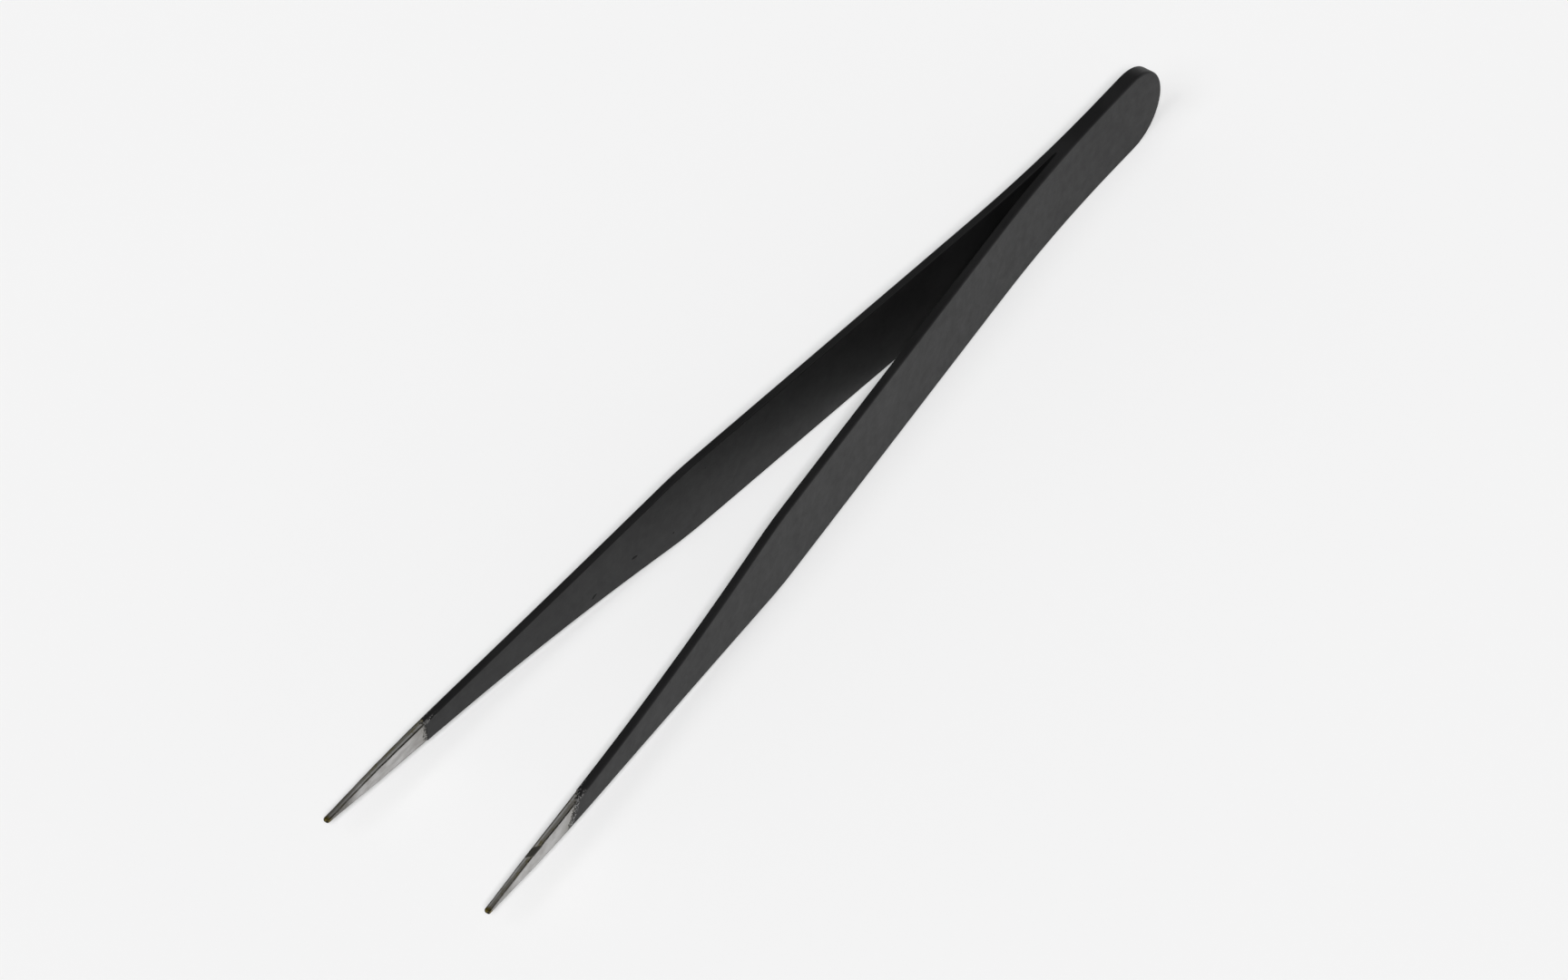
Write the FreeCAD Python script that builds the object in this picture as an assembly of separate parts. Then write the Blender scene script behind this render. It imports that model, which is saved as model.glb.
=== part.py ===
"""Straight fine-point tweezers: two stamped steel arms, spot-welded at the heel and coated.

Each arm is one bent strip of spring steel.  It is modelled in the three lengths that behave
differently: the welded heel, the flexure that bends, and the stiff blade with its bare point.
One coating skin covers the heel and divides at the slit into a sleeve round each arm.

Working axes, mm: X from the heel end towards the points, Y across the opening (left is +Y),
Z along the strip's width.  The finished part stands on its lower long edges, centred on Z.
"""
import FreeCAD, Part
import math
import os
from FreeCAD import Vector

# Driving dimensions, mm and degrees
overall_length = 140.0
steel_width = 10.90         # at the heel, where the strip is widest
steel_thickness = 0.86
coat_thickness = 0.07

# Width outline: a long strip, a knee, a hollow taper, a straight taper and a ground nose
strip_angle = 0.23          # of each edge, along the strip
knee_radius = 44.0
taper_angle = 7.27          # of each edge, just past the knee
taper_curve_length = 33.0   # of the hollow curve that slows the taper
point_angle = 3.25          # of each edge, on the straight taper
nose_angle = 5.73           # of each edge, on the nose
nose_ease_length = 3.1      # of the curve from the straight taper into the nose
nose_length = 5.7           # of the nose's straight edges
tip_width = 0.42            # across the nose where its round end begins
tip_crown = 0.18            # how far the round end stands out

# Side path of an arm's inner face
heel_flat_length = 10.0     # the arms lie face to face
bend_length = 23.1          # of the curve that spreads them
spread_angle = 5.81
bow_length = 53.0           # of the blade's inward curve, which ends at the tip
bow_angle = 2.86

# Point and coating end
grind_length = 14.0         # the outer face is ground thinner over this length
point_thickness = 0.70
bare_length = 16.0          # of steel left uncoated

# Flexure, slit and welds
flexure_length = 26.0
bridged_gap = 0.24          # slit width up to which the coating fills it
weld_count = 2
weld_diameter = 2.6
weld_depth = 0.25           # of a nugget into each arm
closed_tip_gap = 0.06       # left between the points at the closed limit

parts_folder = "parts"
spread = math.radians(spread_angle)
bow = math.radians(bow_angle)
half_width = steel_width / 2
steel_length = overall_length - coat_thickness


def walk(start, heading, moves):
    """Edges along a path in the XY plane, its end point and its last heading.

    Each move is (length, turn): a straight run where turn is 0, and otherwise a tangent arc.
    """
    edges = []
    for length, turn in moves:
        chord = length if turn == 0 else 2 * length / turn * math.sin(turn / 2)
        along = heading + turn / 2
        end = start + Vector(math.cos(along), math.sin(along), 0) * chord
        if turn == 0:
            edges.append(Part.LineSegment(start, end).toShape())
        else:
            half_chord = length / turn * math.sin(turn / 4) * 2
            halfway = heading + turn / 4
            middle = start + Vector(math.cos(halfway), math.sin(halfway), 0) * half_chord
            edges.append(Part.Arc(start, middle, end).toShape())
        start = end
        heading += turn
    return edges, start, heading


def reach(moves, heading=0.0):
    """How far a path of moves gets along and across its starting direction."""
    return walk(Vector(), heading, moves)[1]


def inner_path():
    """Moves of an arm's inner face from the heel end to the tip, reaching steel_length."""
    bend = (bend_length, spread)
    last = (bow_length, -bow)
    straight_along = (steel_length - heel_flat_length - reach([bend]).x
                      - reach([last], spread).x)
    return [(heel_flat_length, 0), bend, (straight_along / math.cos(spread), 0), last]


def offset_moves(moves, distance):
    """The parallel path at a distance to the left of the moves."""
    return [(length - distance * turn, turn) for length, turn in moves]


def side_face():
    """Side view of the left arm's strip, between its inner and outer faces."""
    inner, inner_tip, heading = walk(Vector(), 0, inner_path())
    outer, outer_tip, _ = walk(Vector(0, steel_thickness, 0), 0,
                               offset_moves(inner_path(), steel_thickness))
    ends = [Part.LineSegment(inner_tip, outer_tip).toShape(),
            Part.LineSegment(Vector(0, steel_thickness, 0), Vector()).toShape()]
    return Part.Face(Part.Wire(Part.__sortEdges__(inner + outer + ends)))


def grind_wedge():
    """Solid that thins the left point from its outer face."""
    _, tip, heading = walk(Vector(), 0, inner_path())
    along = Vector(math.cos(heading), math.sin(heading), 0)
    out = Vector(-along.y, along.x, 0)
    bulge = grind_length ** 2 / (2 * bow_length / bow)
    start = tip - along * grind_length + out * (steel_thickness - bulge)
    end = tip + out * point_thickness
    past_end = end + (end - start)
    corners = [start, past_end, past_end + out * steel_width, start + out * steel_width]
    profile = Part.Face(Part.makePolygon(corners + corners[:1]))
    profile.translate(Vector(0, 0, -steel_width))
    return profile.extrude(Vector(0, 0, 2 * steel_width))


def outline_face():
    """Front view of an arm: round heel end, long strip, hollow taper, nose and round tip."""
    lean = math.radians(strip_angle)
    taper = math.radians(taper_angle)
    point = math.radians(point_angle)
    nose = math.radians(nose_angle)
    narrowing = [(knee_radius * (taper - lean), lean - taper), (taper_curve_length, taper - point)]
    ending = [(nose_ease_length, point - nose), (nose_length, 0)]
    shaped = reach(narrowing, -lean) + reach(ending, -point)
    start = Vector(1 + math.sin(lean), math.cos(lean), 0) * half_width
    along = steel_length - tip_crown - start.x - shaped.x
    drop = start.y + shaped.y - tip_width / 2
    strip = (along * math.sin(point) - drop * math.cos(point)) / math.sin(point - lean)
    run = (drop * math.cos(lean) - along * math.sin(lean)) / math.sin(point - lean)
    upper, shoulder, _ = walk(start, -lean, [(strip, 0), *narrowing, (run, 0), *ending])
    lower = [edge.mirror(Vector(), Vector(0, 1, 0)) for edge in upper]
    tip = Part.Arc(shoulder, Vector(steel_length, 0, 0), Vector(shoulder.x, -shoulder.y, 0))
    heel = Part.Arc(start, Vector(), Vector(start.x, -start.y, 0))
    edges = upper + lower + [tip.toShape(), heel.toShape()]
    return Part.Face(Part.Wire(Part.__sortEdges__(edges)))


def strip_solid(side, outline):
    """Solid with this side view in the XY plane and this outline in the XZ plane."""
    depth = 2 * overall_length
    side.translate(Vector(0, 0, -depth / 2))
    outline.rotate(Vector(), Vector(1, 0, 0), 90)
    outline.translate(Vector(0, depth / 2, 0))
    return side.extrude(Vector(0, 0, depth)).common(outline.extrude(Vector(0, -depth, 0)))


def steel_arm():
    """The whole left arm in bare steel."""
    return strip_solid(side_face(), outline_face()).cut(grind_wedge())


def coated_outline():
    """The outline grown by the coating."""
    return outline_face().makeOffset2D(coat_thickness)


def coated_arm():
    """The left arm grown by the coating on every side."""
    return strip_solid(side_face().makeOffset2D(coat_thickness), coated_outline())


def slit_web(divide):
    """Coating that fills the narrow start of the slit, across the strip's coated width."""
    web = Part.makePlane(divide - heel_flat_length, bridged_gap,
                         Vector(heel_flat_length, -bridged_gap / 2, 0))
    return strip_solid(web, coated_outline())


def between(solid, low, high):
    """The stretch of a solid from one distance along X to another."""
    size = 2 * overall_length
    slab = Part.makeBox(high - low, size, size, Vector(low, -size / 2, -size / 2))
    return solid.common(slab)


def mirrored(solid):
    """The right-hand twin of a left-hand solid."""
    return solid.mirror(Vector(), Vector(0, 1, 0))


def weld_nuggets():
    """Disc of fused steel at each spot weld, half in each arm, spaced evenly along the flat."""
    nuggets = []
    pitch = heel_flat_length / weld_count
    for i in range(weld_count):
        centre = Vector((i + 0.5) * pitch, -weld_depth, 0)
        nuggets.append(Part.makeCylinder(weld_diameter / 2, 2 * weld_depth, centre,
                                         Vector(0, 1, 0)))
    return nuggets


def divide_station():
    """Distance from the heel end to where the slit opens and the coating divides."""
    radius = bend_length / spread
    rise = coat_thickness + bridged_gap / 2
    return heel_flat_length + radius * math.sin(math.acos(1 - rise / radius))


def pivot_and_range(divide):
    """Middle of the flexure, at half the steel's thickness, and the angle that shuts the points."""
    along = divide + flexure_length / 2
    column = Part.LineSegment(Vector(along, -1, 0), Vector(along, overall_length, 0)).toShape()
    pivot = column.common(side_face()).Edges[0].CenterOfMass
    _, tip, _ = walk(Vector(), 0, inner_path())
    arm = tip - pivot
    drop = math.asin((pivot.y - closed_tip_gap / 2) / arm.Length)
    return pivot, math.degrees(math.atan2(arm.y, arm.x) + drop)


def build():
    """Every node of the tweezers, by name, in the working axes."""
    divide = divide_station()
    stiff = divide + flexure_length
    coat_end = steel_length - bare_length
    steel = steel_arm()
    coated = coated_arm()
    sleeve = coated.cut(steel)
    welds = weld_nuggets()

    heel_steel = between(steel, 0, divide)
    for nugget in welds:
        heel_steel = heel_steel.cut(nugget)
    left = {
        "arm_heel": heel_steel,
        "arm_flexure": between(steel, divide, stiff),
        "arm_blade": between(steel, stiff, steel_length),
        "flexure_coating": between(sleeve, divide, stiff),
        "blade_coating": between(sleeve, stiff, coat_end),
    }
    nodes = {}
    for name, solid in left.items():
        nodes["left_" + name] = solid
        nodes["right_" + name] = mirrored(solid)
    skin = coated.fuse([mirrored(coated), slit_web(divide)])
    nodes["heel_coating"] = between(skin, -coat_thickness, divide).cut([steel, mirrored(steel)])
    nodes["spot_welds"] = Part.makeCompound(welds)
    return nodes


def save(nodes):
    """Write each node as one STEP file, standing on its lower edges."""
    os.makedirs(parts_folder, exist_ok=True)
    stand = Vector(coat_thickness - overall_length / 2, 0, half_width + coat_thickness)
    for name, shape in nodes.items():
        shape.translate(stand)
        shape.exportStep(os.path.join(parts_folder, name + ".step"))
        box = shape.BoundBox
        print("%-24s solids %d valid %s volume %8.2f  x %.2f..%.2f y %.2f..%.2f z %.2f..%.2f"
              % (name, len(shape.Solids), shape.isValid(), shape.Volume, box.XMin, box.XMax,
                 box.YMin, box.YMax, box.ZMin, box.ZMax))
    pivot, closing = pivot_and_range(divide_station())
    hinge = pivot + stand
    print("left hinge at %.3f %.3f %.3f mm, closes by %.3f degrees" % (*hinge, closing))


save(build())
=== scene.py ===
"""Looks of the straight fine-point tweezers: coated body, bare ground points, studio and camera.

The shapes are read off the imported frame, so the visible pieces follow the CAD solids.  Rounded
edges, the broken end of the coating and the finish are added here.  Lengths are in metres, with X
from the heel to the points, Y across the opening and Z along the strip's width.  Only the left arm
is measured, and the right arm is made as its mirror image.
"""
import math

import bmesh
import bpy
import numpy as np
from mathutils import Matrix, Vector, noise
from mathutils.bvhtree import BVHTree


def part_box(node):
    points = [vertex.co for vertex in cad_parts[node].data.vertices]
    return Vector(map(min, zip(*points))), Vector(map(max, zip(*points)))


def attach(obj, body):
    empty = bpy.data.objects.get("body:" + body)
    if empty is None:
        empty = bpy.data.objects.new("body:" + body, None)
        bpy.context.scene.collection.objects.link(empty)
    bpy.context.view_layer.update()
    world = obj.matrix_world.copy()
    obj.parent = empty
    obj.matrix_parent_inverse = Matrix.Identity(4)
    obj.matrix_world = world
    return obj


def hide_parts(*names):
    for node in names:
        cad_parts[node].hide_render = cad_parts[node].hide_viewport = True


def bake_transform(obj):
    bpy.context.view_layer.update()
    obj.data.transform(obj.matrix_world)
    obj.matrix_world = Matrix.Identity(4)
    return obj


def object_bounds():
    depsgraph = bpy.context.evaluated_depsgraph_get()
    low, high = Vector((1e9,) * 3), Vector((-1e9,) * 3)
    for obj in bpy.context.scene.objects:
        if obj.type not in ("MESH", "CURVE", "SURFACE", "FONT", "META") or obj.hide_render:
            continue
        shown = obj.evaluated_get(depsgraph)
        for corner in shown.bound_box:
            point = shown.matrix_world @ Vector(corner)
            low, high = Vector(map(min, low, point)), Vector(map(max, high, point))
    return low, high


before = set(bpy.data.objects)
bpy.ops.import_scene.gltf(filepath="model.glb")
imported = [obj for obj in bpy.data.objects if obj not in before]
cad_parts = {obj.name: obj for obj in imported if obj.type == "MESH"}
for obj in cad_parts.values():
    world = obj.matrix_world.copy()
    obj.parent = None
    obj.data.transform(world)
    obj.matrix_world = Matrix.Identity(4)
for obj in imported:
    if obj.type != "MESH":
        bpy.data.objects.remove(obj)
cad_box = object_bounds()

MM = 0.001
SIDES = {"left": 1, "right": -1}
ARM_STEEL = ("arm_heel", "arm_flexure", "arm_blade")
ARM_COATING = ("flexure_coating", "blade_coating")

# Places along X where the construction changes, all read from the frame
HEEL_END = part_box("heel_coating")[0].x
STEEL_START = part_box("left_arm_heel")[0].x
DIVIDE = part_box("left_arm_flexure")[0].x
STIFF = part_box("left_arm_blade")[0].x
COAT_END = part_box("left_blade_coating")[1].x
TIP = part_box("left_arm_blade")[1].x
MID_Z = (cad_box[0].z + cad_box[1].z) / 2

# Roundings and unevenness.  The crown is the CAD's, and the CAD leaves the others out
OUTER_EDGE = 0.28 * MM      # rounding of the coated edges on the outer faces
INNER_EDGE = 0.14 * MM      # and on the inner faces
SLIT_FADE = 4 * MM          # length over which the inner rounding starts, at the slit
STEEL_EDGE = 0.06 * MM      # rounding of the steel edges under the coating
NOSE_EDGE = 0.16 * MM       # and at the tip, where the stone has rounded them more
TIP_CROWN = 0.18 * MM       # length of the tip's rounded end, seen from the side
TIP_ROUND = 0.30 * MM       # and seen from above
HAND_GROUND = 0.035 * MM    # unevenness of the ground flanks
GRIND_WAVE = 1.1 * MM       # length of its waves
GRIND_FADE = 3 * MM         # length over which it starts, at the coating's end

# Where the coating breaks off, from its plain end: mean place, change towards the top edge, change
# towards the outer face, and raggedness
COAT_BREAK = {
    "left": (-0.45 * MM, -0.95 * MM, 0.60 * MM, 0.30 * MM),
    "right": (-0.28 * MM, 0.07 * MM, -0.17 * MM, 0.13 * MM),
}
BREAK_REACH = 6 * MM        # how far back the mesh is stretched to follow the break

# How the frame is measured
PROBE_RISE = 0.35           # height of the depth probes over the middle, in half widths
TIP_PROBE_RISE = 0.1 * MM   # and on the blade, which is narrow at its end
PROBE_DEPTH = 0.12 * MM     # depth of the width probes below the outer face
REACH = 40 * MM             # a distance that is outside the object

# How closely the meshes are divided
PITCH = 0.7 * MM            # between rings along the strip
FINE_PITCH = 0.16 * MM      # and along the bare point
FINE_START = COAT_END - 3 * MM
CLOSED_GAP = 0.004 * MM     # half gap below which the arms count as face to face
WEB_RINGS = 24              # places tried between the round heel end and the slit


# Shapes measured on the frame

def node_tree(names):
    """One search tree over the meshes of several CAD nodes."""
    points, faces = [], []
    for name in names:
        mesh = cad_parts[name].data
        base = len(points)
        points += [v.co.copy() for v in mesh.vertices]
        faces += [[base + i for i in polygon.vertices] for polygon in mesh.polygons]
    return BVHTree.FromPolygons(points, faces)


def probe(tree, origin, direction):
    """Where a ray from origin first meets the tree."""
    hit = tree.ray_cast(Vector(origin), Vector(direction))[0]
    if hit is None:
        raise ValueError(f"the frame has no surface along {direction} from {origin}")
    return hit


def smooth_curve(xs, reading):
    """A function that runs smoothly through one reading at each place, for arrays of x."""
    ys = np.array([reading(x) for x in xs])
    slopes = np.gradient(ys, xs)

    def curve(x):
        x = np.clip(x, xs[0], xs[-1])
        i = np.clip(np.searchsorted(xs, x) - 1, 0, len(xs) - 2)
        step = xs[i + 1] - xs[i]
        t = (x - xs[i]) / step
        rise = ys[i] * (1 + 2 * t) * (1 - t) ** 2 + ys[i + 1] * t * t * (3 - 2 * t)
        return rise + step * (slopes[i] * t * (1 - t) ** 2 - slopes[i + 1] * t * t * (1 - t))
    return curve


class Strip:
    """Outer face, inner face and half width of one layer of the left arm, as functions of x."""

    def __init__(self, whole, arm, start, arm_start, end):
        tree, arm_tree = node_tree(whole), node_tree(arm)
        self.start, self.end = start, end
        level = MID_Z + PROBE_RISE * (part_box(whole[0])[1].z - MID_Z)

        def height(x):
            return level if x < STIFF else MID_Z + TIP_PROBE_RISE

        def outer(x):
            return probe(tree, (x, REACH, height(x)), (0, -1, 0)).y

        def inner(x):
            return probe(arm_tree, (x, -REACH, height(x)), (0, 1, 0)).y

        def half_width(x):
            inside = outer(x) - PROBE_DEPTH
            return probe(tree, (x, inside, MID_Z + REACH), (0, 0, -1)).z - MID_Z

        self.outer = smooth_curve(np.linspace(start + 2 * MM, end - 0.2 * MM, 70), outer)
        self.inner = smooth_curve(np.linspace(arm_start, end - 0.2 * MM, 70), inner)
        self.flank = smooth_curve(np.arange(start + 6 * MM, end - 0.25 * MM, 0.75 * MM), half_width)
        self.heel_radius = float(self.flank(start))


def heel_outline(strip, steps=26):
    """Points and outward normals of the round heel end: x, half width, normal x, normal z."""
    radius = strip.heel_radius
    angle = np.linspace(0, math.pi / 2, steps)
    x = strip.start + radius * (1 - np.cos(angle))
    return np.c_[x, radius * np.sin(angle), -np.cos(angle), np.sin(angle)]


def flank_outline(strip, start, end, pitch=PITCH):
    """The same for the long edges between two places."""
    x = np.linspace(start, end, max(3, int((end - start) / pitch) + 1))
    delta = 0.05 * MM
    slope = (strip.flank(x + delta) - strip.flank(x - delta)) / (2 * delta)
    size = np.sqrt(1 + slope ** 2)
    return np.c_[x, strip.flank(x), -slope / size, 1 / size]


def tip_outline(strip, steps=12):
    """The same for the rounded tip."""
    shoulder = strip.end - TIP_CROWN
    height = float(strip.flank(shoulder))
    angle = np.linspace(0, math.pi / 2, steps)
    x = shoulder + TIP_CROWN * np.sin(angle)
    normal = np.c_[np.sin(angle) / TIP_CROWN, np.cos(angle) / height]
    normal /= np.linalg.norm(normal, axis=1)[:, None]
    return np.c_[x, height * np.cos(angle), normal]


def smoothstep(value):
    """Runs smoothly from 0 to 1 as value does."""
    value = np.clip(value, 0, 1)
    return value * value * (3 - 2 * value)


# Mesh building

def ring_pattern(corner_steps=5, face_steps=22, support=1.25):
    """The points round one cross-section: (end, inset, pull, side) of each.

    end runs from +1 at the top edge to -1 at the bottom, and side from +1 at the outer face to -1
    at the inner one.  inset and pull are distances from the edge and from the face, in roundings.
    """
    arc = np.radians(np.linspace(0, 90, corner_steps + 1))
    corner = [(1 - math.cos(a), 1 - math.sin(a)) for a in arc]
    half = [(1, d, p, 1) for d, p in corner] + [(1, support, 0, 1)]
    half += [(e, support, 0, 1) for e in np.linspace(1, -1, face_steps + 1)[1:-1]]
    half += [(-1, support, 0, 1)] + [(-1, d, p, 1) for d, p in reversed(corner)]
    half += [(-1, 0, support, s) for s in (1, 0.5, 0, -0.5, -1)]
    back = [(-e, d, p, -s) for e, d, p, s in half]
    return np.array(half + back)


PATTERN = ring_pattern()


class Rings:
    """Cross-sections along an outline: their points, and where each point lies on the strip.

    A point's strip place is its distance from the nearest long corner, its height from -1 at the
    bottom to +1 at the top, and its depth from -1 at the inner face to +1 at the outer face.
    past_break is how far it lies past the broken end of the coating.  With follow, the last rings
    are moved to lie along that end.
    """

    def __init__(self, inner, outer, flank, outline, edges, break_line=None, follow=False):
        end, inset, pull, side = PATTERN.T
        x, height, normal_x, normal_z = (outline[:, i:i + 1] for i in range(4))
        edge = np.where(side >= 0, edges[0](x), edges[1](x))
        room = np.minimum(0.4 * (outer(x) - inner(x)), 0.45 * flank(x))
        radius = np.minimum(edge, room)
        px = x - normal_x * inset * radius
        broken = break_line(end, side) if break_line else 0 * end
        if follow:
            px = px + smoothstep((x - COAT_END + BREAK_REACH) / BREAK_REACH) * broken
            height = height + flank(px) - flank(x)
        middle, half = (inner(px) + outer(px)) / 2, (outer(px) - inner(px)) / 2
        depth = side * (1 - pull * radius / half)
        up = end * (1 - inset * radius * normal_z / np.maximum(height, 0.01 * MM))
        rim = half * (1 - np.abs(depth)) + height * (1 - np.abs(up))
        self.points = np.stack([px, middle + depth * half, MID_Z + up * height], axis=2)
        self.strip_place = np.stack([rim, up, depth], axis=2)
        self.past_break = px - COAT_END - broken

    def then(self, other):
        """These rings followed by the other ones, backwards."""
        joined = Rings.__new__(Rings)
        for name in ("points", "strip_place", "past_break"):
            both = [getattr(self, name), getattr(other, name)[::-1]]
            setattr(joined, name, np.concatenate(both))
        return joined


def edge_growing(start_size, end_size, start, end):
    """Edge rounding that grows from one size to another between two places."""
    return lambda x: start_size + (end_size - start_size) * smoothstep((x - start) / (end - start))


def steady_edge(size):
    """Edge rounding that is the same everywhere."""
    return lambda x: np.full_like(x, size)


def ring_faces(shape, close):
    """Quads that join each ring to the next, and the last to the first if close is set."""
    rings, points = shape[:2]
    faces = []
    for i in range(rings if close else rings - 1):
        a, b = i * points, (i + 1) % rings * points
        faces += [(a + j, a + (j + 1) % points, b + (j + 1) % points, b + j)
                  for j in range(points)]
    return faces


def make_piece(name, rings, material, side=1, close=False, extra=None):
    """A mesh object from rings, mirrored for the right arm, with every face turned outwards.

    extra is one more shell, as points and faces.  Its points count as far from any corner.
    """
    work = bmesh.new()
    rest_layer = work.verts.layers.float_vector.new("rest_place")
    strip_layer = work.verts.layers.float_vector.new("strip_place")
    break_layer = work.verts.layers.float.new("past_break")

    def add_shell(points, strip_places, past_breaks, faces):
        verts = [work.verts.new((x, side * y, z)) for x, y, z in points]
        for vert, place, past in zip(verts, strip_places, past_breaks):
            vert[rest_layer] = vert.co
            vert[strip_layer] = Vector(place)
            vert[break_layer] = past
        for face in faces:
            work.faces.new([verts[i] for i in face])

    add_shell(rings.points.reshape(-1, 3), rings.strip_place.reshape(-1, 3),
              rings.past_break.reshape(-1), ring_faces(rings.points.shape, close))
    if extra:
        points, faces = extra
        add_shell(points, [(MM, 0, 0)] * len(points), points[:, 0] - COAT_END, faces)
    bmesh.ops.remove_doubles(work, verts=work.verts, dist=0.0001 * MM)
    bmesh.ops.recalc_face_normals(work, faces=work.faces)
    if work.calc_volume(signed=True) < 0:
        bmesh.ops.reverse_faces(work, faces=work.faces)
    for face in work.faces:
        face.smooth = True
    for edge in work.edges:
        edge.smooth = edge.calc_face_angle(0) < math.radians(40)
    mesh = bpy.data.meshes.new(name)
    work.to_mesh(mesh)
    work.free()
    mesh.materials.append(material)
    piece = bpy.data.objects.new(name, mesh)
    bpy.context.scene.collection.objects.link(piece)
    return piece


# Materials

class Finish:
    """A procedural material, with short calls for the nodes that it is made of."""

    def __init__(self, name):
        self.material = bpy.data.materials.new(name)
        self.material.use_nodes = True
        self.tree = self.material.node_tree
        self.shader = self.tree.nodes["Principled BSDF"]

    def feed(self, socket, value):
        """Links another node's output to a socket, or sets a plain value on it."""
        if isinstance(value, bpy.types.NodeSocket):
            self.tree.links.new(value, socket)
        else:
            socket.default_value = value

    def node(self, kind, inputs=None, **settings):
        """A new node with these inputs and settings."""
        node = self.tree.nodes.new(kind)
        for key, value in settings.items():
            setattr(node, key, value)
        for key, value in (inputs or {}).items():
            self.feed(node.inputs[key], value)
        return node

    def set(self, **values):
        """Feeds the shader's own sockets, named in lower case with underscores."""
        for key, value in values.items():
            self.feed(self.shader.inputs[key.replace("_", " ").title().replace("Ior", "IOR")], value)

    def stored(self, name, output="Vector"):
        """A value kept on the mesh at rest, which stays put when the piece bends."""
        return self.node("ShaderNodeAttribute", attribute_name=name).outputs[output]

    def split(self, vector):
        """The three components of a vector."""
        return self.node("ShaderNodeSeparateXYZ", {0: vector}).outputs

    def stretch(self, vector, factors):
        """A vector times one factor for each component."""
        return self.node("ShaderNodeVectorMath", {0: vector, 1: factors},
                         operation="MULTIPLY").outputs[0]

    def noise(self, place, size, detail=3.0, roughness=0.55):
        """Noise with features of about this size."""
        inputs = {"Vector": place, "Scale": 1 / size, "Detail": detail, "Roughness": roughness}
        return self.node("ShaderNodeTexNoise", inputs).outputs["Fac"]

    def dots(self, place, cell, radius):
        """Sparse round spots: 1 inside, 0 outside."""
        inputs = {"Vector": place, "Scale": 1 / cell}
        distance = self.node("ShaderNodeTexVoronoi", inputs).outputs["Distance"]
        return self.ramp(distance, radius / cell, 0.4 * radius / cell)

    def ramp(self, value, low, high, start=0.0, end=1.0):
        """Runs smoothly from start to end as value goes from low to high."""
        inputs = {"Value": value, "From Min": low, "From Max": high, "To Min": start, "To Max": end}
        return self.node("ShaderNodeMapRange", inputs,
                         interpolation_type="SMOOTHSTEP").outputs[0]

    def math(self, operation, a, b=0.0):
        """The result of one math node."""
        return self.node("ShaderNodeMath", {0: a, 1: b}, operation=operation).outputs[0]

    def all_of(self, *masks):
        """The product of several masks."""
        total = masks[0]
        for mask in masks[1:]:
            total = self.math("MULTIPLY", total, mask)
        return total

    def any_of(self, *masks):
        """The largest of several masks."""
        total = masks[0]
        for mask in masks[1:]:
            total = self.math("MAXIMUM", total, mask)
        return total

    def blend(self, factor, a, b):
        """A colour between a and b."""
        return self.node("ShaderNodeMix", {0: factor, 6: a, 7: b}, data_type="RGBA").outputs[2]

    def grade(self, factor, a, b):
        """A number between a and b."""
        return self.node("ShaderNodeMix", {0: factor, 2: a, 3: b}, data_type="FLOAT").outputs[0]

    def bump(self, height, distance, normal=None):
        """The surface normal over a relief this deep."""
        inputs = {"Height": height, "Distance": distance, "Strength": 1.0}
        if normal is not None:
            inputs["Normal"] = normal
        return self.node("ShaderNodeBump", inputs).outputs["Normal"]

    def spot(self, x, z, centre, size, tilt):
        """An oval mark with its centre at a place along X and Z: 1 inside, 0 outside."""
        turn = math.radians(tilt)
        along, up = self.math("SUBTRACT", x, centre[0]), self.math("SUBTRACT", z, centre[1])
        terms = []
        for length, c, s in ((size[0], math.cos(turn), math.sin(turn)),
                             (size[1], -math.sin(turn), math.cos(turn))):
            turned = self.math("ADD", self.math("MULTIPLY", along, c / length),
                               self.math("MULTIPLY", up, s / length))
            terms.append(self.math("POWER", self.math("ABSOLUTE", turned), 2))
        return self.ramp(self.math("ADD", *terms), 1.2, 0.5)


# Colours of the coating
COAT_BLACK = (0.0052, 0.0052, 0.0054, 1)
COAT_GREY = (0.0085, 0.0085, 0.0087, 1)
# The darkest black is for pits and scars, and is also painted as shade along the inner corners
SCAR_AND_SHADE_BLACK = (0.0030, 0.0030, 0.0030, 1)

# Colours of the steel: its ground faces, its long edges, and what has settled on them.  The light
# grey is also a painted highlight on the long edges, and the grime colour is also painted shade
# along the corners
STEEL_LIGHT = (0.49, 0.485, 0.48, 1)
STEEL_DARK = (0.35, 0.34, 0.33, 1)
STEEL_DULL = (0.27, 0.26, 0.24, 1)
STEEL_TIP_DARK = (0.10, 0.093, 0.08, 1)
STEEL_WORN = (0.30, 0.295, 0.29, 1)
STRIP_GREY = (0.42, 0.40, 0.355, 1)
OLIVE = (0.30, 0.27, 0.15, 1)
RUST = (0.15, 0.12, 0.03, 1)
GRIME_AND_SHADE = (0.020, 0.019, 0.015, 1)
WELD_STRAW = (0.36, 0.33, 0.30, 1)
WELD_BLUE = (0.20, 0.19, 0.24, 1)

# Marks on the right arm's inner face: place along X and Z, half length and half width, tilt
SCARS = (((20.4 * MM, 4.2 * MM), (0.48 * MM, 0.20 * MM), 14),
         ((27.0 * MM, 3.5 * MM), (0.44 * MM, 0.19 * MM), -22),
         ((14.2 * MM, 2.8 * MM), (0.15 * MM, 0.13 * MM), 0))

# A scrap of coating left on the lower edge of the left point, described in the same way
CHIP = ((54.2 * MM, 4.15 * MM), (0.42 * MM, 0.20 * MM), -25)

# A black patch across the upper edge of the left point: its two ends along X, and their blur
PATCH_START, PATCH_END, PATCH_BLUR = 60.6 * MM, 62.7 * MM, 0.3 * MM

# Darkening and rust towards the tips: how far from the end each starts, and where it is full
TIP_DARK_START, TIP_DARK_FULL = 5.6 * MM, 2.6 * MM
RUST_START, RUST_FULL = 0.9 * MM, 0.3 * MM


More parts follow.
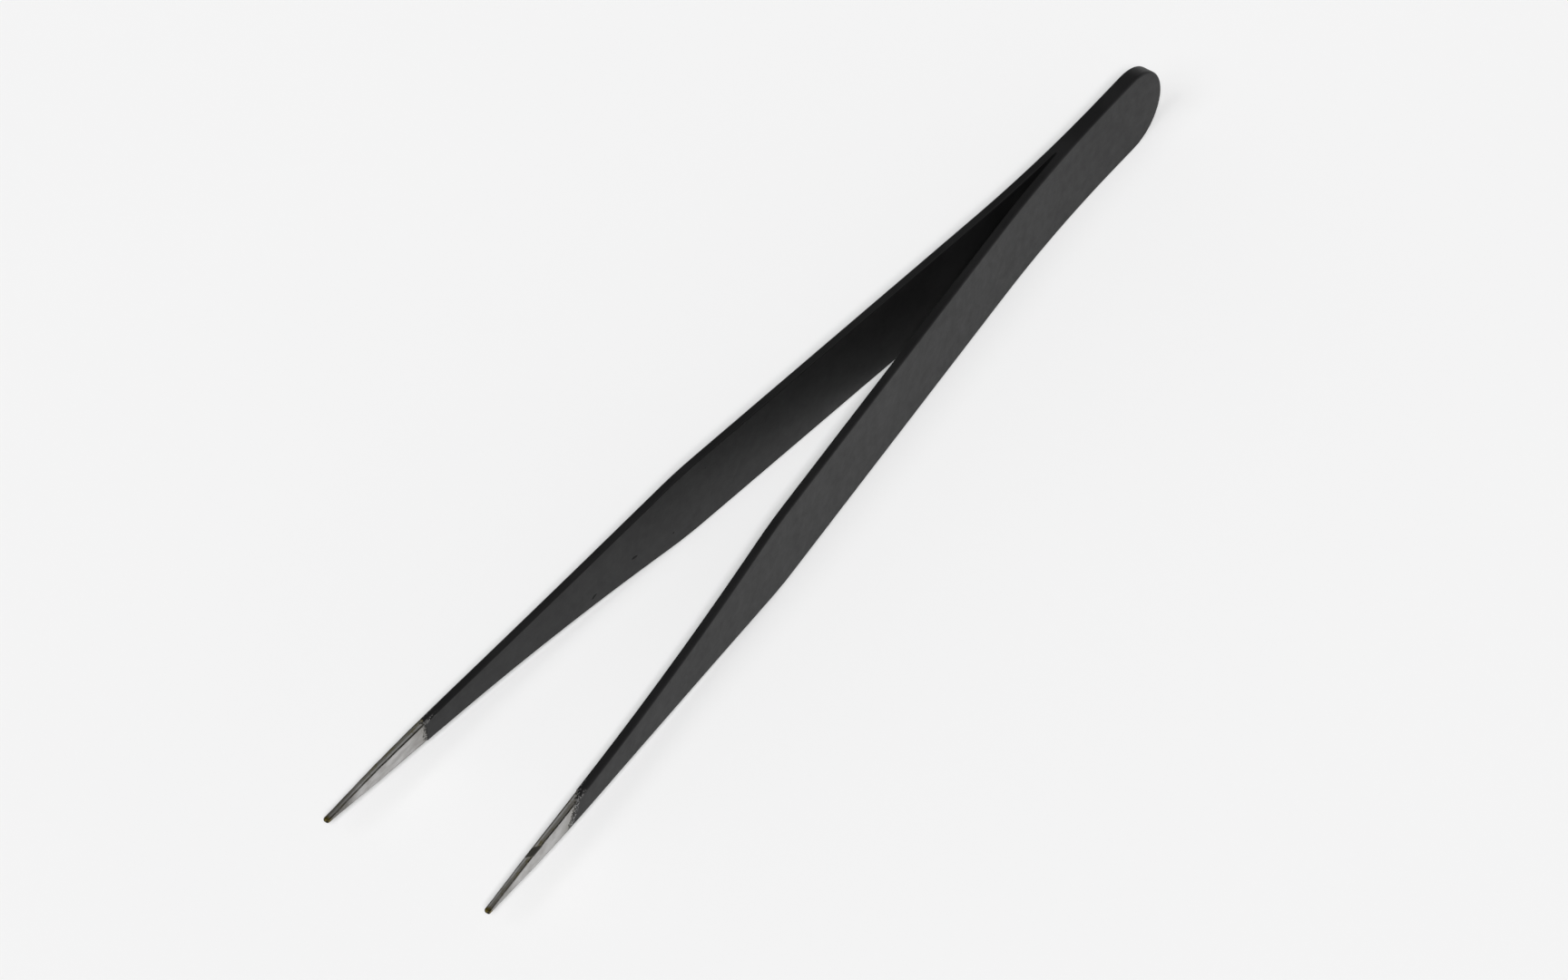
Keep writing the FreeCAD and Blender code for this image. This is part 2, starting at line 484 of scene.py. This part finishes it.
def coating_material(side_name, wear=0.0, scars=()):
    """Matte black epoxy: fine orange peel, faint mottling, pits, wear where it breaks off, and
    painted shade along the inner corners.

    wear is how much steel shows at the broken end, from 0 to 1, and scars are dark marks.
    """
    finish = Finish(f"black_epoxy_{side_name}")
    place = finish.stored("rest_place")
    past = finish.stored("past_break", "Fac")
    x, _, z = finish.split(place)
    rim, _, depth = finish.split(finish.stored("strip_place"))

    # Pits and scars
    marks = finish.dots(place, 4 * MM, 0.13 * MM)
    for centre, size, tilt in scars:
        spot = finish.spot(x, z, centre, size, tilt)
        marks = finish.any_of(marks, finish.all_of(spot, finish.ramp(depth, -0.9, -0.98)))

    # Steel that shows through at the broken end, and painted shade along the inner corners
    chipped = finish.noise(place, 0.36 * MM, detail=4, roughness=0.7)
    worn_edge = finish.all_of(finish.ramp(rim, 0.35 * MM, 0.05 * MM),
                              finish.ramp(past, -2.4 * MM, -0.5 * MM))
    worn_end = finish.ramp(past, -0.9 * MM, -0.2 * MM, 0, wear)
    worn = finish.all_of(finish.any_of(worn_edge, worn_end), finish.ramp(chipped, 0.52, 0.56))
    inner_corner_shade = finish.all_of(finish.ramp(rim, 0.24 * MM, 0.10 * MM, 0, 0.9),
                         finish.ramp(depth, -0.55, -0.75))
    marks_and_corner_shade = finish.any_of(marks, inner_corner_shade)

    cloud = finish.noise(place, 6 * MM, detail=4)
    colour = finish.blend(finish.ramp(cloud, 0.35, 0.7), COAT_BLACK, COAT_GREY)
    # Pits, scars and the painted shade along the inner corners take the darkest black
    colour = finish.blend(marks_and_corner_shade, colour, SCAR_AND_SHADE_BLACK)
    peel = finish.noise(place, 0.32 * MM, detail=2)
    relief = finish.bump(peel, 0.006 * MM)
    relief = finish.bump(finish.math("SUBTRACT", 1.0, marks), 0.06 * MM, relief)
    rough = finish.grade(finish.noise(place, 1.3 * MM, detail=5, roughness=0.65), 0.38, 0.60)
    finish.set(base_color=finish.blend(worn, colour, STEEL_WORN), metallic=worn, normal=relief,
               roughness=finish.grade(marks_and_corner_shade, rough, 0.8), ior=1.31)
    return finish.material


def steel_material(side_name, tip_darkness, blotch=False):
    """Hand-ground spring steel: lengthwise grinding lines, painted shade along the corners, a
    painted highlight along the long edges, and tint.

    burn is how dark the tip is, from 0 to 1, and blotch adds the left point's patch and scrap.
    """
    finish = Finish(f"ground_steel_{side_name}")
    place = finish.stored("rest_place")
    past = finish.stored("past_break", "Fac")
    x, _, z = finish.split(place)
    rim, up, depth = finish.split(finish.stored("strip_place"))
    on_edge = finish.ramp(finish.math("ABSOLUTE", depth), 0.97, 0.88)
    lines = finish.noise(finish.stretch(place, (0.06, 1, 1)), 0.09 * MM, detail=3)
    patches = finish.noise(finish.stretch(place, (0.5, 1, 1)), 0.8 * MM, detail=4)
    fine = finish.noise(place, 0.28 * MM, detail=4, roughness=0.65)

    # Ground faces, duller beside the coating
    colour = finish.blend(finish.ramp(patches, 0.3, 0.75), STEEL_LIGHT, STEEL_DARK)
    colour = finish.blend(finish.ramp(lines, 0.45, 0.8, 0, 0.5), colour, STEEL_DARK)
    colour = finish.blend(finish.ramp(past, 3.4 * MM, 0, 0, 0.75), colour, STEEL_DULL)

    # Long edges, tinted in patches, with a painted highlight along one line
    colour = finish.blend(finish.math("MULTIPLY", on_edge, 0.8), colour, STRIP_GREY)
    tint = finish.all_of(on_edge, finish.ramp(patches, 0.50, 0.62, 0, 0.8))
    colour = finish.blend(tint, colour, OLIVE)
    painted_edge_highlight = finish.all_of(on_edge, finish.ramp(depth, -0.02, -0.2),
                           finish.ramp(depth, -0.68, -0.5), finish.ramp(fine, 0.3, 0.5))
    # painted highlight: the light steel grey along a line on the inner half of each long edge
    colour = finish.blend(painted_edge_highlight, colour, STEEL_LIGHT)

    # Tip: darker towards its end, then rust at the very end
    tip_darkening = finish.all_of(finish.ramp(x, TIP - TIP_DARK_START, TIP - TIP_DARK_FULL, 0, tip_darkness),
                          finish.ramp(fine, 0.2, 0.6, 0.6, 0.95),
                          finish.ramp(on_edge, 0, 1, 1, 0.5))
    colour = finish.blend(tip_darkening, colour, STEEL_TIP_DARK)
    colour = finish.blend(finish.ramp(x, TIP - RUST_START, TIP - RUST_FULL), colour, RUST)

    # Flecks of coating, denser near its end, and painted shade along the corners
    limit = finish.ramp(past, 0.1 * MM, 1.4 * MM, 0.46, 0.74)
    flecks = finish.ramp(finish.math("SUBTRACT", fine, limit), -0.02, 0.02)
    if blotch:
        slant = finish.math("MULTIPLY", depth, 0.4 * MM)
        ragged = finish.math("ADD", x, finish.math("MULTIPLY", fine, 0.9 * MM))
        along = finish.math("ADD", ragged, slant)
        patch = finish.all_of(finish.ramp(along, PATCH_START, PATCH_START + PATCH_BLUR),
                              finish.ramp(along, PATCH_END, PATCH_END - PATCH_BLUR),
                              finish.ramp(up, 0.75, 0.85))
        flecks = finish.any_of(flecks, patch, finish.spot(x, z, *CHIP))
    # painted shade: the corners darkened with the same dark colour as the coating flecks
    corner = finish.all_of(finish.ramp(rim, 0.20 * MM, 0.05 * MM),
                           finish.ramp(fine, 0.3, 0.5, 0.55, 0.95))
    flecks_and_corner_shade = finish.any_of(corner, flecks)
    colour = finish.blend(flecks_and_corner_shade, colour, GRIME_AND_SHADE)

    rough = finish.grade(patches, 0.28, 0.5)
    rough = finish.grade(on_edge, rough, 0.44)
    rough = finish.grade(painted_edge_highlight, rough, 0.6)
    relief = finish.bump(lines, 0.004 * MM)
    relief = finish.bump(fine, 0.005 * MM, relief)
    finish.set(base_color=colour, metallic=finish.math("SUBTRACT", 1.0, flecks), normal=relief,
               roughness=finish.grade(flecks_and_corner_shade, rough, 0.55))
    return finish.material


def weld_material():
    """Steel that has melted and set again, with heat tint.  It is hidden between the heels."""
    finish = Finish("fused_steel")
    place = finish.node("ShaderNodeTexCoord").outputs["Object"]
    grain = finish.noise(place, 0.25 * MM, detail=5)
    tint = finish.ramp(finish.noise(place, 0.9 * MM), 0.35, 0.65)
    colour = finish.blend(tint, WELD_STRAW, WELD_BLUE)
    finish.set(base_color=colour, metallic=1.0, roughness=finish.grade(grain, 0.35, 0.65),
               normal=finish.bump(grain, 0.02 * MM))
    return finish.material


# Pieces

def coating_break(side_name):
    """How far the coating's ragged end lies from its plain place, round the strip."""
    mean, rise, outward, raggedness = COAT_BREAK[side_name]
    seed = SIDES[side_name]

    def jag(end, side):
        coarse = noise.noise((3.1 * end, 1.7 * side, seed))
        fine = noise.noise((9.7 * end, 4.3 * side, seed + 5))
        return coarse + 0.7 * fine
    jags = np.vectorize(jag)
    return lambda end, side: mean + rise * end + outward * side + raggedness * jags(end, side)


def hand_ground(strip):
    """The strip's half width with the slight unevenness of grinding on its bare part."""
    def flank(x):
        wave = np.vectorize(lambda v: noise.noise((v / GRIND_WAVE, 0.5, 0)))(x)
        return strip.flank(x) + HAND_GROUND * wave * smoothstep((x - COAT_END) / GRIND_FADE)
    return flank


def rounded_end(strip):
    """The strip's inner and outer faces, drawn together over the rounded end of the tip."""
    def face(side):
        def curve(x):
            middle = (strip.outer(x) + strip.inner(x)) / 2
            half = (strip.outer(x) - strip.inner(x)) / 2
            past = np.clip((x - strip.end + TIP_ROUND) / TIP_ROUND, 0, 1)
            return middle + side * half * np.sqrt(1 - 0.75 * past ** 2)
        return curve
    return face(-1), face(1)


def steel_strip(side_name, strip, material):
    """One arm in bare steel, from the heel to its ground point."""
    outline = np.r_[heel_outline(strip)[:-1],
                    flank_outline(strip, strip.start + strip.heel_radius, FINE_START)[:-1],
                    flank_outline(strip, FINE_START, strip.end - TIP_CROWN, FINE_PITCH)[:-1],
                    tip_outline(strip)]
    uneven = hand_ground(strip)
    outline[:, 1] *= uneven(outline[:, 0]) / strip.flank(outline[:, 0])
    edges = (edge_growing(STEEL_EDGE, NOSE_EDGE, COAT_END, TIP),) * 2
    rings = Rings(*rounded_end(strip), strip.flank, outline, edges, coating_break(side_name))
    piece = make_piece(f"{side_name}_arm_steel", rings, material, SIDES[side_name])
    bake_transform(piece)
    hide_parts(*[f"{side_name}_{part}" for part in ARM_STEEL])


def coating_sleeve(side_name, coat, steel, material):
    """The coating round one arm, from the slit to its broken end near the point."""
    coat_edges = (steady_edge(OUTER_EDGE),
                  edge_growing(0, INNER_EDGE, DIVIDE, DIVIDE + SLIT_FADE))
    steel_edges = (steady_edge(STEEL_EDGE),) * 2
    layers = []
    for strip, edges in ((coat, coat_edges), (steel, steel_edges)):
        layers.append(Rings(strip.inner, strip.outer, strip.flank,
                            flank_outline(strip, DIVIDE, COAT_END), edges,
                            coating_break(side_name), follow=True))
    piece = make_piece(f"{side_name}_arm_coating", layers[0].then(layers[1]), material,
                       SIDES[side_name], close=True)
    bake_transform(piece)
    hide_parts(*[f"{side_name}_{part}" for part in ARM_COATING])


def heel_web(steel):
    """The wedge of coating that fills the narrow start of the gap, up to the slit."""
    places = np.linspace(STEEL_START + 6 * MM, DIVIDE, WEB_RINGS)
    opened = [x for x in places if steel.inner(x) > CLOSED_GAP]
    corners = ((-1, -1), (1, -1), (1, 1), (-1, 1))
    points = np.array([[(x, s * steel.inner(x), MID_Z + e * steel.flank(x)) for s, e in corners]
                       for x in opened])
    last = 4 * len(opened) - 4
    faces = ring_faces(points.shape, False) + [(0, 1, 2, 3), (last, last + 1, last + 2, last + 3)]
    return points.reshape(-1, 3), faces


def heel_skin(coat, steel, material):
    """The coating round both arms at the heel, with the web between them."""
    shells = []
    for strip, edge in ((coat, OUTER_EDGE), (steel, STEEL_EDGE)):
        outline = np.r_[heel_outline(strip)[:-1],
                        flank_outline(strip, strip.start + strip.heel_radius, DIVIDE)]
        shells.append(Rings(lambda x, strip=strip: -strip.outer(x), strip.outer, strip.flank,
                            outline, (steady_edge(edge),) * 2))
    piece = make_piece("heel_skin", shells[0].then(shells[1]), material, extra=heel_web(steel))
    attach(piece, "heel")
    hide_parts("heel_coating")


# Studio

FLOOR_HALF = 3.0            # half the floor's side
FLOOR_GREY = (0.86, 0.86, 0.86, 1)
FLOOR_COOL = (0.85, 0.85, 0.852, 1)

# Lamps: azimuth, elevation and apparent size in degrees, and power
LAMPS = {
    "front_softbox": (130, 49, 10, 3.12),
    "gap_fill": (92, 48, 30, 0.70),
}
SKY_LOW, SKY_HIGH = 0.85, 0.12      # brightness of the walls and of the ceiling
WALL_TOP, CEILING = 0.02, 0.36      # sines of the elevations between which one fades to the other

# Camera: the direction it stands in and its roll, in degrees, its place from the object's middle
# as it sees it, and its sensor and lens in millimetres
CAMERA_AZIMUTH, CAMERA_ELEVATION, CAMERA_ROLL = 130.010, 48.826, -4.424
CAMERA_ASIDE, CAMERA_ABOVE, CAMERA_DISTANCE = -1.088 * MM, -3.240 * MM, 960.88 * MM
CAMERA_SENSOR, CAMERA_LENS = 36.0, 197.9167


def add_floor():
    """A large pale sheet with a barely visible unevenness."""
    mesh = bpy.data.meshes.new("studio_floor")
    signs = ((-1, -1), (1, -1), (1, 1), (-1, 1))
    corners = [(a * FLOOR_HALF, b * FLOOR_HALF, 0) for a, b in signs]
    mesh.from_pydata(corners, [], [(0, 1, 2, 3)])
    floor = bpy.data.objects.new("studio_floor", mesh)
    bpy.context.scene.collection.objects.link(floor)
    finish = Finish("pale_sheet")
    place = finish.node("ShaderNodeTexCoord").outputs["Object"]
    cloud = finish.noise(place, 60 * MM, detail=2)
    finish.set(base_color=finish.blend(cloud, FLOOR_GREY, FLOOR_COOL), roughness=0.9)
    mesh.materials.append(finish.material)


def direction(azimuth, elevation):
    """The unit vector towards a viewer or lamp at these angles, in degrees.

    The azimuth counts from the -Y direction towards +X.
    """
    a, e = math.radians(azimuth), math.radians(elevation)
    return Vector((math.sin(a) * math.cos(e), -math.cos(a) * math.cos(e), math.sin(e)))


def add_lamps():
    """A soft lamp behind the camera, and a weak one that shines along the gap between the arms."""
    for name, (azimuth, elevation, size, power) in LAMPS.items():
        light = bpy.data.lights.new(name, "SUN")
        light.energy = power
        light.angle = math.radians(size)
        lamp = bpy.data.objects.new(name, light)
        lamp.rotation_mode = "QUATERNION"
        lamp.rotation_quaternion = (-direction(azimuth, elevation)).to_track_quat("-Z", "Y")
        bpy.context.scene.collection.objects.link(lamp)


def add_world():
    """Pale walls all round, and a dim ceiling that keeps the upward edges dark."""
    world = bpy.data.worlds.new("studio_world")
    bpy.context.scene.world = world
    world.use_nodes = True
    tree = world.node_tree
    place = tree.nodes.new("ShaderNodeTexCoord")
    split = tree.nodes.new("ShaderNodeSeparateXYZ")
    ramp = tree.nodes.new("ShaderNodeMapRange")
    ramp.interpolation_type = "SMOOTHSTEP"
    levels = {"From Min": WALL_TOP, "From Max": CEILING, "To Min": SKY_LOW, "To Max": SKY_HIGH}
    for key, value in levels.items():
        ramp.inputs[key].default_value = value
    tree.links.new(place.outputs["Generated"], split.inputs[0])
    tree.links.new(split.outputs["Z"], ramp.inputs["Value"])
    tree.links.new(ramp.outputs[0], tree.nodes["Background"].inputs["Color"])


def add_camera():
    """A camera nearly a metre away, in front of the points and above them."""
    azimuth, roll = math.radians(CAMERA_AZIMUTH), math.radians(CAMERA_ROLL)
    back = direction(CAMERA_AZIMUTH, CAMERA_ELEVATION)
    level = Vector((math.cos(azimuth), math.sin(azimuth), 0))
    upright = back.cross(level)
    right = level * math.cos(roll) + upright * math.sin(roll)
    up = upright * math.cos(roll) - level * math.sin(roll)
    data = bpy.data.cameras.new("camera")
    data.sensor_width = CAMERA_SENSOR
    data.lens = CAMERA_LENS
    data.clip_start = 0.01
    camera = bpy.data.objects.new("camera", data)
    camera.matrix_world = Matrix((right, up, back)).transposed().to_4x4()
    camera.location = (Vector((0, 0, MID_Z)) + right * CAMERA_ASIDE + up * CAMERA_ABOVE
                       + back * CAMERA_DISTANCE)
    bpy.context.scene.collection.objects.link(camera)
    bpy.context.scene.camera = camera


def build():
    """Measure the frame, make every visible piece, and set up the studio round them."""
    left_steel = [f"left_{part}" for part in ARM_STEEL]
    left_coating = [f"left_{part}" for part in ARM_COATING]
    steel = Strip(left_steel, left_steel, STEEL_START, STEEL_START + 2 * MM, TIP)
    coat = Strip(["heel_coating", *left_coating], left_coating, HEEL_END, DIVIDE + 0.02 * MM,
                 COAT_END)
    heel_skin(coat, steel, coating_material("heel"))
    steel_strip("left", steel, steel_material("left", tip_darkness=0.5, blotch=True))
    steel_strip("right", steel, steel_material("right", tip_darkness=1.0))
    coating_sleeve("left", coat, steel, coating_material("left", wear=1.0))
    coating_sleeve("right", coat, steel, coating_material("right", scars=SCARS))
    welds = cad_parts["spot_welds"]
    welds.data.materials.clear()
    welds.data.materials.append(weld_material())
    add_floor()
    add_world()
    add_lamps()
    add_camera()
    bpy.context.scene.view_settings.view_transform = "Standard"


build()
